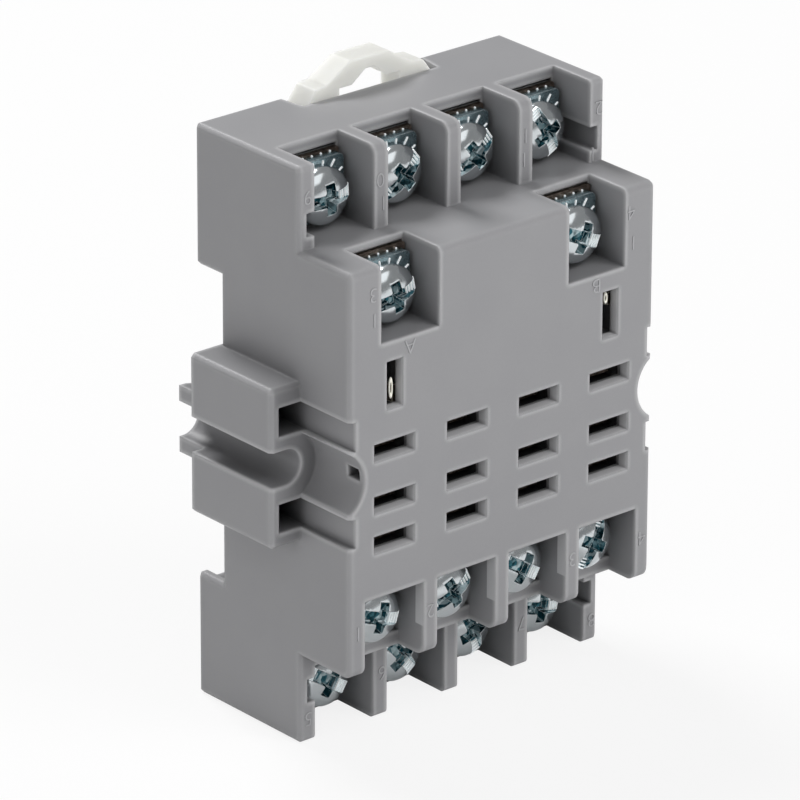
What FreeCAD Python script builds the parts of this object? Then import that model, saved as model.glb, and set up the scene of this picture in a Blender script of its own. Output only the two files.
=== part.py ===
"""Relay socket: one moulded housing with screw terminals, plug-in contacts and a rail clip.

Units are millimetres. X runs across the socket, -Y is the face that takes the relay and
Z runs up from the lower end. Sizes below count depth from the rear plane, which sits
against a panel; the finished shapes are moved forward so that the origin lies under the
middle of the socket.
"""
import math
import os

import FreeCAD
import Part

V = FreeCAD.Vector

# Overall form
POLES = 4
PITCH = 10.16              # between blade columns
WALL = 1.88                # walls between compartments
WIDTH = 43.0
HEIGHT = 67.0
Y_TIER = -17.51            # front of the two outer, set-back tiers
Y_FACE = -25.93            # relay face
Z_SHELF = HEIGHT - 9.54    # top of the centre block
Z_CHIN = 10.47             # underside of the centre block
ORIGIN_SHIFT = -Y_FACE / 2
RIM = 0.4                  # bevel on the moulded outer edges
END_R = 0.55               # top front corner of the two end walls
FRONT_R = 1.2              # the same corner on the walls between them
CHIN_R = 1.3               # front corner of the lower terminal walls

# Rail channel across the back
RAIL_DEPTH = 4.23
Z_RAIL_LOW = 14.55
Z_RAIL_HIGH = 50.81
RAIL_SILL = 1.2            # recess that the lower rail edge stands in
RAIL_SILL_SIDE = 1.0       # rim left at each side of it
RAIL_HOOK_GAP = 1.25       # room for the rail's flange before the hooks
RAIL_HOOK_X = (5.0, 14.0)

# Fixing ears
EAR_OUT = 4.07
Z_EAR = (24.2, 42.74)
Y_EAR = -17.72
SLOT_R = 2.085             # open slot for an M4 screw
SLOT_X = 23.45
SLOT_Z = 33.35
HEAD_R = 4.1               # screw head clearance down the side
COLLAR_R = 3.9             # wall round the slot behind the ear
POCKETS_Z = ((25.87, 29.29), (37.06, 40.50))
POCKET_DEEP = 10.5
POCKET_WALL = 1.07
FLUTE = 0.85
PIN_HOLE_Z = (33.09, 34.5)
PIN_HOLE_Y = (-25.02, -23.11)

# Terminal compartments
Y_TIER_WALL = -11.4
Y_FACE_WALL = -19.9
Z_LOWER_CEILING = 19.26
Z_REAR_CEILING = 8.8
Z_COIL_FLOOR = Z_SHELF - 8.95
COIL_X = 13.15
COIL_ROOM = 8.09
LEDGE_OUT = 1.75
LEDGE_TOP = 12.1
END_GROOVE = 1.08
END_GROOVES_Z = ((4.6, 7.42), (Z_SHELF + 1.39, Z_SHELF + 4.14))

# Plug-in slots
SLOT_W = 5.57
SLOT_H = 1.99
ROW_TOP = {"lower_front": 26.43, "lower_back": 31.08, "upper_back": 37.11}
COIL_SLOT_X = 1.5 * PITCH
COIL_SLOT_W = 2.13
COIL_SLOT_Z = (40.78, 46.21)
FACE_SKIN = 1.83
COIL_SKIN = 1.3            # the same round the two upright slots
LEAD_IN = 0.14             # bevel round each slot's mouth
CAVITY_SIDE = 0.35         # cavity beyond the slot, each side
CAVITY_OVER = 0.85

# Terminal metal
STRIP = 0.8
PLATE_OUT = 0.5            # terminal plate stands proud of the wall
PLATE_HALF = 3.85
SEAT_GAP = 0.05            # between a strip and the plastic round it
RECESS_OVER = {"upper_back": 0.45, "coil": 0.3}    # dark recess above the plate
LINK_HALF = 2.5
LEAF = 0.5
BLADE_GAP = 0.9
CLIP_Y = (-22.9, -16.5)
FLARE_Y = -24.3            # tip of the coil contacts' lead-in
FLARE_OUT = 0.5
FLARE_Z = {13: (COIL_SLOT_Z[0] - 0.13, COIL_SLOT_Z[0] + 1.82),
           14: (COIL_SLOT_Z[0] + 3.02, COIL_SLOT_Z[0] + 4.42)}
CAVITY_BACK = 0.4
SCREW_R = 1.65
THREAD_GAP = 0.05
CLAMP = 1.15
CLAMP_GAP = 0.03
CLAMP_HALF_X = 3.6
CLAMP_DOWN = 3.25          # plate below and above the screw
CLAMP_UP = 3.7
CLAMP_ROOM = 0.45          # under a compartment's ceiling
CLAMP_CORNER = 0.5
CLAMP_BORE = 0.15          # clamp hole beyond the screw, radial
HEAD_SIDES = 20
SHANK_SIDES = 12
CLAMP_BORE_SIDES = 16
HEAD_RINGS = [(3.3, 0), (3.22, 1.0), (2.6, 1.82), (1.4, 2.4)]    # radius, height over the seat
HEAD_H = HEAD_RINGS[-1][1]
DRIVE_W = 1.25
DRIVE_DEEP = 1.25
CROSS_LEN = 4.5
CROSS_DEEP = 1.85
SHANK = 6.9                # from under the head
POCKET_GAP = 0.45          # square pocket round the screw's end, each side
POCKET_BEYOND = 0.9        # pocket beyond the screw's end

# Rail clip
NOTCH_HALF = 9.4
NOTCH_FLARE = 0.6
NOTCH_DEEP = 3.62
CLIP_T = 1.4
TAB_GAP = 0.2              # between the finger tab and the notch floor
TAB_LOW = HEIGHT - 4.2     # underside of the thick tab
TAB_RISE = (3.5, 1.45, 1.25, -0.9)       # tab corners over the housing's top
TAB_HALF = (2.65, 5.95, 7.55)            # and their distance from the middle
TOOL_RISE = (2.15, 0.72, -2.4)           # screwdriver opening, likewise
TOOL_HALF = (0.6, 2.5, 4.25)
CLIP_BACK = 0.2            # clip face ahead of the rear plane
CLIP_SIDE_GAP = 0.25
GROOVE_IN = 1.2
GROOVE_TOP = HEIGHT - 4.4
GROOVE_GAP = 0.12
CLIP_TRAVEL = 1.6
HOOK_HALF = 7.0
HOOK_LOW = 47.2
WINDOW_HALF = 6.9
WINDOW_Z = (54.6, 60.4)
LUG_HALF = 1.1
LUG_X = 5.2
LUG_TALL = 1.2
SPRING_T = 0.7
SPRING_GAP = 0.05

CEILING = {"lower_front": Z_LOWER_CEILING, "lower_back": Z_REAR_CEILING}

# Each terminal: number, column x, screw height, back wall, plate bottom, plate top, family
COLUMNS = [(i - (POLES - 1) / 2) * PITCH for i in range(POLES)]
TERMINALS = (
    [(1 + i, x, 15.45, Y_FACE_WALL, 12.2, 18.75, "lower_front") for i, x in enumerate(COLUMNS)]
    + [(5 + i, x, 4.8, Y_TIER_WALL, 1.2, 8.3, "lower_back") for i, x in enumerate(COLUMNS)]
    + [(9 + i, x, Z_SHELF + 3.79, Y_TIER_WALL, Z_SHELF + 0.44, Z_SHELF + 7.79, "upper_back")
       for i, x in enumerate(COLUMNS)]
    + [(number, x, Z_SHELF - 5.26, Y_FACE_WALL, Z_SHELF - 8.56, Z_SHELF - 1.06, "coil")
       for number, x in ((13, -COIL_X), (14, COIL_X))]
)
DRIVE_ANGLES = {1: -18, 2: 24, 3: -32, 4: 62, 5: -33, 6: -52, 7: -70, 8: -12,
                9: 4, 10: 38, 11: 34, 12: -62, 13: 12, 14: -24}


def box(x0, x1, y0, y1, z0, z1):
    """A box between two corners given in any order."""
    x0, x1, y0, y1, z0, z1 = (*sorted((x0, x1)), *sorted((y0, y1)), *sorted((z0, z1)))
    return Part.makeBox(x1 - x0, y1 - y0, z1 - z0, V(x0, y0, z0))


def cylinder_y(x, z, radius, y0, y1):
    """A cylinder along Y between two depths."""
    y0, y1 = sorted((y0, y1))
    return Part.makeCylinder(radius, y1 - y0, V(x, y0, z), V(0, 1, 0))


def rounded_face(corners, place):
    """A face through corners (a, b, radius), each rounded by its own radius."""
    count = len(corners)
    ends = []
    for i, (a, b, r) in enumerate(corners):
        here = V(a, b, 0)
        back = V(*corners[i - 1][:2], 0) - here
        ahead = V(*corners[(i + 1) % count][:2], 0) - here
        back.normalize()
        ahead.normalize()
        if r <= 0:
            ends.append((here, None, here))
            continue
        half = back.getAngle(ahead) / 2
        reach = r / math.tan(half)
        middle = back + ahead
        middle.normalize()
        arc_mid = here + middle * (r / math.sin(half) - r)
        ends.append((here + back * reach, arc_mid, here + ahead * reach))
    edges = []
    for i, (start, mid, end) in enumerate(ends):
        if mid is not None:
            edges.append(Part.Arc(place(start), place(mid), place(end)).toShape())
        nxt = ends[(i + 1) % count][0]
        if (nxt - end).Length > 1e-6:
            edges.append(Part.makeLine(place(end), place(nxt)))
    return Part.Face(Part.Wire(edges))


def prism_x(corners, x0, x1):
    """Extrude a (y, z, radius) outline along X."""
    face = rounded_face(corners, lambda p: V(x0, p.x, p.y))
    return face.extrude(V(x1 - x0, 0, 0))


def prism_y(corners, y0, y1):
    """Extrude an (x, z, radius) outline along Y."""
    face = rounded_face(corners, lambda p: V(p.x, y0, p.y))
    return face.extrude(V(0, y1 - y0, 0))


def square(points, radius=0.0):
    """The same radius on every corner of an outline."""
    return [(a, b, radius) for a, b in points]


def fuse_all(shapes):
    """One solid from several that meet or overlap."""
    first, rest = shapes[0], shapes[1:]
    return first.multiFuse(rest).removeSplitter() if rest else first


def turned(shape, x, z, degrees):
    """Turn a shape about the screw axis at x, z."""
    copy = shape.copy()
    copy.rotate(V(x, 0, z), V(0, -1, 0), degrees)
    return copy


def mirrored(shape):
    """The same shape on the other side of the socket."""
    return shape.mirror(V(0, 0, 0), V(1, 0, 0))


def plate_front(wall_y):
    return wall_y - PLATE_OUT


def row_middle(family):
    return ROW_TOP[family] - SLOT_H / 2


def blade_clip(terminal):
    """The sprung end of a contact: two leaves that take a blade between them."""
    number, x, screw_z, wall, z0, z1, family = terminal
    inner = BLADE_GAP / 2
    half = inner + LEAF
    y0, y1 = CLIP_Y
    if family != "coil":
        mid = row_middle(family)
        body = box(x - LINK_HALF, x + LINK_HALF, y0, y1, mid - half, mid + half)
        return body.cut(box(x - LINK_HALF - 1, x + LINK_HALF + 1, y0 - 1, y1 - STRIP, mid - inner, mid + inner))
    centre = math.copysign(COIL_SLOT_X, x)
    low, high = COIL_SLOT_Z[0] + 0.35, COIL_SLOT_Z[1] - 0.35
    body = box(centre - half, centre + half, y0, y1, low, high)
    body = body.cut(box(centre - inner, centre + inner, y0 - 1, y1 - STRIP, low - 1, high + 1))
    flares = [prism_z([(centre + side * inner, y0 + 0.2), (centre + side * half, y0 + 0.2),
                       (centre + side * half, y0), (centre + side * (half + FLARE_OUT), FLARE_Y),
                       (centre + side * (inner + FLARE_OUT), FLARE_Y), (centre + side * inner, y0)],
                      *FLARE_Z[number]) for side in (-1, 1)]
    return fuse_all([body] + flares)


def strip_parts(terminal, grow=0.0):
    """The bent strip from the screw plate to the blade clip, as boxes."""
    number, x, screw_z, wall, z0, z1, family = terminal
    front = plate_front(wall)
    back = front + STRIP
    plate = box(x - PLATE_HALF - grow, x + PLATE_HALF + grow, front - grow, back + grow, z0 - grow, z1 + grow)
    wide = LINK_HALF + grow
    if family == "coil":
        centre = math.copysign(COIL_SLOT_X, x)
        half = BLADE_GAP / 2 + LEAF + grow
        link = box(centre - half, centre + half, front - grow, back + grow, COIL_SLOT_Z[1] - 0.6, z0 + 0.5)
        return [plate, link]
    mid = row_middle(family)
    half = STRIP / 2
    if family == "lower_front":
        end = mid - BLADE_GAP / 2 - LEAF / 2
        return [plate, box(x - wide, x + wide, front - grow, back + grow, z1 - 0.5, end)]
    if family == "lower_back":
        run = box(x - wide, x + wide, front - grow, back + grow, z1 - 0.5, mid + half + grow)
    else:
        run = box(x - wide, x + wide, front - grow, back + grow, mid - half - grow, z0 + 0.5)
    web = box(x - wide, x + wide, CLIP_Y[1] - 0.4, back + grow, mid - half - grow, mid + half + grow)
    return [plate, run, web]


def contact(terminal):
    """Terminal plate, link and blade clip bent from one strip, tapped for the screw."""
    number, x, screw_z, wall, z0, z1, family = terminal
    solid = fuse_all(strip_parts(terminal) + [blade_clip(terminal)])
    return solid.cut(cylinder_y(x, screw_z, SCREW_R + THREAD_GAP, wall - 5, wall + 5))


def clamp_plate(terminal):
    """Square pressure plate with clipped corners."""
    number, x, screw_z, wall, z0, z1, family = terminal
    back = plate_front(wall) - CLAMP_GAP
    side, cut, low = CLAMP_HALF_X, CLAMP_CORNER, screw_z - CLAMP_DOWN
    top = min(screw_z + CLAMP_UP, CEILING[family] - CLAMP_ROOM) if family in CEILING else screw_z + CLAMP_UP
    corners = [(side, top - cut), (side - cut, top), (cut - side, top), (-side, top - cut),
               (-side, low + cut), (cut - side, low), (side - cut, low), (side, low + cut)]
    plate = prism_y(square([(x + a, b) for a, b in corners]), back - CLAMP, back)
    radius = SCREW_R + CLAMP_BORE
    return plate.cut(turned_piece([(radius, back - 3), (radius, back + 3)], CLAMP_BORE_SIDES, x, screw_z))


def head_back(wall_y):
    return plate_front(wall_y) - 2 * CLAMP_GAP - CLAMP


def turned_piece(rings, sides, x, z):
    """A closed many-sided turning about Y through rings of (radius, y)."""
    def ring(radius, y):
        angles = [2 * math.pi * (i + 0.5) / sides for i in range(sides)]
        return [V(x + radius * math.cos(a), y, z + radius * math.sin(a)) for a in angles]
    loops = [ring(*r) for r in rings]
    faces = [Part.Face(Part.makePolygon(loop + loop[:1])) for loop in (loops[0], loops[-1])]
    for low, high in zip(loops, loops[1:]):
        for i in range(sides):
            k = (i + 1) % sides
            faces.append(Part.Face(Part.makePolygon([low[i], low[k], high[k], high[i], low[i]])))
    solid = Part.Solid(Part.Shell(faces))
    solid.fixTolerance(1e-5)
    return solid if solid.Volume > 0 else solid.reversed()


def terminal_screw(terminal):
    """Pan-head screw with a slot and a cross recess on the same axis."""
    number, x, screw_z, wall, z0, z1, family = terminal
    seat = head_back(wall)
    head = turned_piece([(r, seat - rise) for r, rise in HEAD_RINGS], HEAD_SIDES, x, screw_z)
    shank = turned_piece([(SCREW_R, seat - 0.3), (SCREW_R, seat + SHANK)], SHANK_SIDES, x, screw_z)
    face_y = seat - HEAD_H
    slot = box(x - 5, x + 5, face_y - 1, face_y + DRIVE_DEEP, screw_z - DRIVE_W / 2, screw_z + DRIVE_W / 2)
    arm = box(x - DRIVE_W / 2, x + DRIVE_W / 2, face_y - 1, face_y + CROSS_DEEP,
              screw_z - CROSS_LEN / 2, screw_z + CROSS_LEN / 2)
    drive = turned(fuse_all([slot, arm]), x, screw_z, DRIVE_ANGLES[number])
    return fuse_all([head, shank]).cut(drive)


def side_profile():
    """The housing's outline seen from the side, with its moulded corners."""
    return [(0, 0, 0.5), (0, Z_RAIL_LOW, 0.5), (-RAIL_DEPTH, Z_RAIL_LOW, 0), (-RAIL_DEPTH, Z_RAIL_HIGH, 0),
            (0, Z_RAIL_HIGH, 0.5), (0, HEIGHT, 0.5), (Y_TIER, HEIGHT, END_R), (Y_TIER, Z_SHELF, 0),
            (Y_FACE, Z_SHELF, 0.8), (Y_FACE, Z_CHIN, CHIN_R), (Y_TIER, Z_CHIN, 0), (Y_TIER, 0, 0.6)]


def housing_body():
    """Stepped block with softened side edges."""
    half = WIDTH / 2
    block = prism_x(side_profile(), -half, half)
    rims = [e for e in block.Edges
            if abs(abs(e.CenterOfMass.x) - half) < 1e-6 and abs(e.BoundBox.XLength) < 1e-6]
    return block.makeChamfer(RIM, rims)


def ear():
    """One side's fixing ear with the collar that carries its slot back to the panel."""
    half = WIDTH / 2
    out = half + EAR_OUT
    block = box(half - 1, out, Y_EAR, -RAIL_DEPTH, *Z_EAR)
    rims = [e for e in block.Edges if e.CenterOfMass.x > half and not (
        abs(e.CenterOfMass.y + RAIL_DEPTH) < 1e-6 and e.BoundBox.YLength < 1e-6)]
    block = block.makeChamfer(RIM, rims)
    collar = cylinder_y(SLOT_X, SLOT_Z, COLLAR_R, -RAIL_DEPTH - 0.5, 0)
    collar = collar.common(box(0, SLOT_X, -9, 1, 0, HEIGHT))
    lip = box(SLOT_X, SLOT_X + 0.45, -RAIL_DEPTH - 0.5, 0, SLOT_Z - COLLAR_R, SLOT_Z + COLLAR_R)
    return fuse_all([block, collar, lip])


def ear_cuts():
    """Slot, screw head channel, cored pockets and flutes of one ear."""
    half = WIDTH / 2
    out = half + EAR_OUT
    slot = fuse_all([cylinder_y(SLOT_X, SLOT_Z, SLOT_R, Y_FACE, 1),
                     box(SLOT_X, out + 1, Y_FACE, 1, SLOT_Z - SLOT_R, SLOT_Z + SLOT_R)])
    cuts = [slot, cylinder_y(SLOT_X, SLOT_Z, HEAD_R, Y_FACE - 1, Y_EAR)]
    for z0, z1 in POCKETS_Z:
        cuts.append(box(half - FLUTE, half + 1, Y_FACE - 1, Y_EAR, z0, z1))
        cuts.append(box(half - FLUTE, out - POCKET_WALL, Y_EAR - 1, Y_EAR + POCKET_DEEP, z0, z1))
    cuts.append(box(half - 4.2, half, *PIN_HOLE_Y, *PIN_HOLE_Z))
    return cuts


def compartments():
    """The fourteen terminal compartments and the grooves in their end walls."""
    room = (PITCH - WALL) / 2
    inner = COLUMNS[-1] + room
    corner = box(-inner, inner, Y_TIER - 1, Y_TIER + FRONT_R, HEIGHT - FRONT_R, HEIGHT + 1)
    round_off = Part.makeCylinder(FRONT_R, WIDTH, V(-WIDTH / 2, Y_TIER + FRONT_R, HEIGHT - FRONT_R), V(1, 0, 0))
    cuts = [corner.cut(round_off)]
    for x in COLUMNS:
        cuts.append(box(x - room, x + room, Y_TIER - 1, Y_TIER_WALL, Z_SHELF, HEIGHT + 1))
        cuts.append(box(x - room, x + room, Y_TIER - 1, Y_TIER_WALL, -1, Z_REAR_CEILING))
        lower = prism_x(square([(Y_FACE - 1, Z_CHIN - 1), (Y_FACE_WALL - LEDGE_OUT, Z_CHIN - 1),
                                (Y_FACE_WALL - LEDGE_OUT, LEDGE_TOP), (Y_FACE_WALL, LEDGE_TOP),
                                (Y_FACE_WALL, Z_LOWER_CEILING), (Y_FACE - 1, Z_LOWER_CEILING)]),
                        x - room, x + room)
        cuts.append(lower)
    for side in (-1, 1):
        x0 = side * COIL_X - COIL_ROOM / 2
        cuts.append(box(x0, x0 + COIL_ROOM, Y_FACE - 1, Y_FACE_WALL, Z_COIL_FLOOR, Z_SHELF + 1))
        wall = side * inner
        for z0, z1 in END_GROOVES_Z:
            cuts.append(box(wall - side, wall + side * END_GROOVE, Y_TIER - 1, Y_TIER_WALL, z0, z1))
    return cuts


def lead_in(x0, x1, z0, z1):
    """Bevel round the mouth of a slot in the relay face."""
    def ring(y, grow):
        corners = [(x0 - grow, z0 - grow), (x1 + grow, z0 - grow), (x1 + grow, z1 + grow), (x0 - grow, z1 + grow)]
        points = [V(x, y, z) for x, z in corners]
        return Part.makePolygon(points + points[:1])
    return Part.makeLoft([ring(Y_FACE - 0.1, LEAD_IN + 0.1), ring(Y_FACE + LEAD_IN, 0)], True, True)


def plug_slots():
    """Slots in the relay face with the contact cavities behind them."""
    cuts = []
    inner = Y_FACE + FACE_SKIN
    coil_inner = Y_FACE + COIL_SKIN
    back = CLIP_Y[1] + CAVITY_BACK
    for family, top in ROW_TOP.items():
        mid = row_middle(family)
        for x in COLUMNS:
            cuts.append(box(x - SLOT_W / 2, x + SLOT_W / 2, Y_FACE - 1, inner + 0.1, top - SLOT_H, top))
            cuts.append(lead_in(x - SLOT_W / 2, x + SLOT_W / 2, top - SLOT_H, top))
            wide = SLOT_W / 2 + CAVITY_SIDE
            tall = SLOT_H / 2 + CAVITY_OVER
            cuts.append(box(x - wide, x + wide, inner, back, mid - tall, mid + tall))
    for side in (-1, 1):
        x = side * COIL_SLOT_X
        half = COIL_SLOT_W / 2
        cuts.append(box(x - half, x + half, Y_FACE - 1, coil_inner + 0.1, *COIL_SLOT_Z))
        cuts.append(lead_in(x - half, x + half, *COIL_SLOT_Z))
        cuts.append(box(x - half - CAVITY_OVER, x + half + CAVITY_OVER, coil_inner, back,
                        COIL_SLOT_Z[0] - CAVITY_SIDE, COIL_SLOT_Z[1] + CAVITY_SIDE))
    return cuts


def terminal_seats():
    """Recesses, channels and blind pockets that take the metal of each terminal."""
    cuts = []
    for terminal in TERMINALS:
        number, x, screw_z, wall, z0, z1, family = terminal
        cuts += strip_parts(terminal, SEAT_GAP)
        end = head_back(wall) + SHANK + POCKET_BEYOND
        half = SCREW_R + POCKET_GAP
        cuts.append(box(x - half, x + half, wall - 1, end, screw_z - half, screw_z + half))
        if family in RECESS_OVER:
            half = PLATE_HALF + SEAT_GAP
            cuts.append(box(x - half, x + half, wall - 0.1, wall + 1.6, z1, z1 + RECESS_OVER[family]))
    return cuts


def clip_y():
    """Front and back depth of the rail clip's plate."""
    return -CLIP_BACK - CLIP_T, -CLIP_BACK


def clip_seat():
    """Notch for the rail clip, its side grooves and the sill for the lower rail edge."""
    inner, outer = NOTCH_HALF, NOTCH_HALF + NOTCH_FLARE
    notch = prism_z([(-inner, -NOTCH_DEEP), (inner, -NOTCH_DEEP), (outer, 1 * 0.2), (-outer, 1 * 0.2)],
                    Z_RAIL_HIGH - 1, HEIGHT + 1)
    front, back = clip_y()
    reach = NOTCH_HALF + GROOVE_IN
    groove = box(-reach, reach, front - GROOVE_GAP, back + GROOVE_GAP, Z_RAIL_HIGH - 1, GROOVE_TOP)
    side = WIDTH / 2 - RAIL_SILL_SIDE
    sill = box(-side, side, -RAIL_DEPTH, 1, Z_RAIL_LOW - RAIL_SILL, Z_RAIL_LOW + 1)
    return [notch, groove, sill]


def prism_z(points, z0, z1):
    """Extrude an (x, y) outline along Z."""
    ring = [V(x, y, z0) for x, y in points]
    return Part.Face(Part.makePolygon(ring + ring[:1])).extrude(V(0, 0, z1 - z0))


def rail_hooks():
    """Two hooks that stand in the sill, behind the rail's lower flange."""
    front = -RAIL_DEPTH + RAIL_HOOK_GAP
    low = Z_RAIL_LOW - RAIL_SILL - 0.5
    hook = prism_x([(front, low, 0), (0, low, 0), (0, Z_RAIL_LOW, 0.5), (front + 0.5, Z_RAIL_LOW, 0),
                    (front, Z_RAIL_LOW - 0.5, 0)], *RAIL_HOOK_X)
    return [hook, mirrored(hook)]


def clip_lugs():
    """Two lugs on the notch floor that carry the ends of the clip's spring."""
    front, back = clip_y()
    top = WINDOW_Z[1] - SPRING_GAP
    return [box(s * LUG_X - LUG_HALF, s * LUG_X + LUG_HALF, -NOTCH_DEEP - 0.3, back, top - LUG_TALL, top)
            for s in (-1, 1)]


def housing():
    half_cuts = ear_cuts()
    right = ear()
    body = fuse_all([housing_body(), right, mirrored(right)])
    cuts = half_cuts + [mirrored(c) for c in half_cuts]
    cuts += compartments() + plug_slots() + terminal_seats() + clip_seat()
    body = body.cut(Part.makeCompound(cuts))
    return fuse_all([body] + clip_lugs() + rail_hooks())


def din_clip():
    """Moulded slider: finger tab, side rails, spring window and rail hook."""
    front, back = clip_y()
    side = NOTCH_HALF - CLIP_SIDE_GAP
    rail = NOTCH_HALF + GROOVE_IN - GROOVE_GAP
    rail_top = GROOVE_TOP - CLIP_TRAVEL - 0.3
    low = Z_RAIL_HIGH + 0.4
    peak, neck, shoulder, foot = (HEIGHT + rise for rise in TAB_RISE)
    peak_x, neck_x, shoulder_x = TAB_HALF
    upper = [(side, foot, 0), (shoulder_x, shoulder, 0.15), (neck_x, neck, 0.1), (peak_x, peak, 0.25)]
    upper += [(-x, z, r) for x, z, r in reversed(upper)]
    plate = prism_y([(-rail, rail_top, 0.4), (-rail, low, 0), (rail, low, 0), (rail, rail_top, 0.4),
                     (side, rail_top, 0)] + upper + [(-side, rail_top, 0)], front, back)
    tab = prism_y([(-side, TAB_LOW, 0.3), (side, TAB_LOW, 0.3)] + upper, -NOTCH_DEEP + TAB_GAP, back)
    hook = prism_x(square([(front - 1.3, low + 2.2), (front - 1.3, HOOK_LOW + 0.5), (front - 0.8, HOOK_LOW),
                           (front + 0.3, HOOK_LOW), (back, HOOK_LOW + 1.2), (back, low + 2.2)]),
                   -HOOK_HALF, HOOK_HALF)
    window = box(-WINDOW_HALF, WINDOW_HALF, front - 1, back + 1, *WINDOW_Z)
    top, step, bottom = (HEIGHT + rise for rise in TOOL_RISE)
    top_x, step_x, wide_x = TOOL_HALF
    half = [(wide_x, bottom), (wide_x, step), (step_x, step), (top_x, top)]
    tool = prism_y(square(half + [(-x, z) for x, z in reversed(half)]), -NOTCH_DEEP, back + 1)
    return fuse_all([plate, tab, hook]).cut(Part.makeCompound([window, tool]))


def clip_spring():
    """Bowed leaf across the clip's window, its ends under the housing's lugs."""
    front, back = clip_y()
    ends = WINDOW_Z[1] - SPRING_GAP - LUG_TALL - SPRING_GAP
    low = WINDOW_Z[0] + SPRING_GAP
    half = LUG_X + 0.6
    t = SPRING_T

    def point(x, z):
        return V(x, front + 0.1, z)
    edges = [Part.Arc(point(-half, ends - t), point(0, low), point(half, ends - t)).toShape(),
             Part.makeLine(point(half, ends - t), point(half, ends)),
             Part.Arc(point(half, ends), point(0, low + t), point(-half, ends)).toShape(),
             Part.makeLine(point(-half, ends), point(-half, ends - t))]
    return Part.Face(Part.Wire(edges)).extrude(V(0, CLIP_T - 0.2, 0))


def main():
    os.makedirs("parts", exist_ok=True)
    nodes = {"housing": housing(), "din_clip": din_clip(), "clip_spring": clip_spring()}
    for terminal in TERMINALS:
        number = terminal[0]
        nodes["contact_%02d" % number] = contact(terminal)
        nodes["clamp_plate_%02d" % number] = clamp_plate(terminal)
        nodes["terminal_screw_%02d" % number] = terminal_screw(terminal)
    for name, shape in nodes.items():
        solids = shape.Solids
        if len(solids) != 1 or not shape.isValid():
            raise ValueError("%s: %d solids, valid %s" % (name, len(solids), shape.isValid()))
        solid = solids[0].copy()
        solid.translate(V(0, ORIGIN_SHIFT, 0))
        solid.exportStep("parts/%s.step" % name)


main()
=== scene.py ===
# %% [markdown]
# # A relay socket in its finishes
# This lesson dresses a plug-in relay socket that was built as solids in CAD. The moulding, the rail clip
# and the terminal metal already have their true shapes, so Blender adds what a solid model does not
# carry: the satin of moulded plastic, milky nylon, bright zinc, small screws with real recesses, and the
# raised figures beside the terminals.

# %% Load the solids
import math

import bpy
from mathutils import Euler, Matrix, Vector


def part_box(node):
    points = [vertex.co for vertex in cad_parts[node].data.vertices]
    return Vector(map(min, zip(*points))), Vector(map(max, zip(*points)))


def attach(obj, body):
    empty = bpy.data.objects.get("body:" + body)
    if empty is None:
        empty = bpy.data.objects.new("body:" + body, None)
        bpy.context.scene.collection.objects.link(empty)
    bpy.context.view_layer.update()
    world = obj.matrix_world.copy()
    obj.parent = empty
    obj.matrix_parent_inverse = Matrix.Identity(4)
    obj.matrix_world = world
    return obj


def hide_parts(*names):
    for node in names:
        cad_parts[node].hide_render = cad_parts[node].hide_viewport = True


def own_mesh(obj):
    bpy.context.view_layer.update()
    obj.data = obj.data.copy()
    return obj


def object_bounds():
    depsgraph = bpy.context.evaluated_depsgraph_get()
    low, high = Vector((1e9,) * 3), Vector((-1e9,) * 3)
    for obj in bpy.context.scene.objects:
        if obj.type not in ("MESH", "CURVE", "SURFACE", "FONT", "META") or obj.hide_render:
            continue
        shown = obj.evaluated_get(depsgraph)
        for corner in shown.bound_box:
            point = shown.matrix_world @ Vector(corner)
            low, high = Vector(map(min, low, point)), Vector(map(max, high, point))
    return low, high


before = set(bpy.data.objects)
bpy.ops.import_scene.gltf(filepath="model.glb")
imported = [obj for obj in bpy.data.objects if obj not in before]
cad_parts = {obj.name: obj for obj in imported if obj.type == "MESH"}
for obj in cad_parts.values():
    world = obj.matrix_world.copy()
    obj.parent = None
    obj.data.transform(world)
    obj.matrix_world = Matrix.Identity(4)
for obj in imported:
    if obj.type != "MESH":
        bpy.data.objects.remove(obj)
CAD_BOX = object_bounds()
FACE_Y = CAD_BOX[0][1]
MM = 0.001
TERMINALS = ["%02d" % n for n in range(1, 15)]
print("solids:", len(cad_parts), "box:", [tuple(round(v / MM, 2) for v in corner) for corner in CAD_BOX])

# %% [markdown]
# ## Handling objects
# Most of Blender's operators act on whatever is selected. Selecting exactly one object before each step
# keeps the steps from reaching the CAD solids. A finished piece has its place in its mesh and its object
# at the origin, so a pattern in object coordinates lands on the same spot wherever the piece is used.


# %% Helpers for selecting and finishing
def only(piece):
    """Select one object and nothing else."""
    bpy.ops.object.select_all(action="DESELECT")
    piece.select_set(True)
    bpy.context.view_layer.objects.active = piece
    return piece


def latest(name):
    """Name the object that an operator has just added."""
    piece = bpy.context.active_object
    piece.name = piece.data.name = name
    return only(piece)


def settle(piece):
    """Move an object's place, turn and scale into its mesh."""
    only(piece)
    bpy.ops.object.transform_apply(location=True, rotation=True, scale=True)
    return piece


def pick_faces(piece, test):
    """Go into edit mode with those faces selected whose centre passes a test."""
    bpy.ops.object.mode_set(mode="OBJECT")
    mesh = piece.data
    for item in (*mesh.vertices, *mesh.edges):
        item.select = False
    for face in mesh.polygons:
        face.select = bool(test(face.center))
    bpy.ops.object.mode_set(mode="EDIT")
    bpy.ops.mesh.select_mode(type="FACE")


def pick_edges(piece, test):
    """Go into edit mode with those edges selected whose two ends pass a test."""
    bpy.ops.object.mode_set(mode="OBJECT")
    mesh = piece.data
    for item in (*mesh.vertices, *mesh.polygons):
        item.select = False
    for edge in mesh.edges:
        edge.select = bool(test(*(mesh.vertices[v].co for v in edge.vertices)))
    bpy.ops.object.mode_set(mode="EDIT")
    bpy.ops.mesh.select_mode(type="EDGE")


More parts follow.
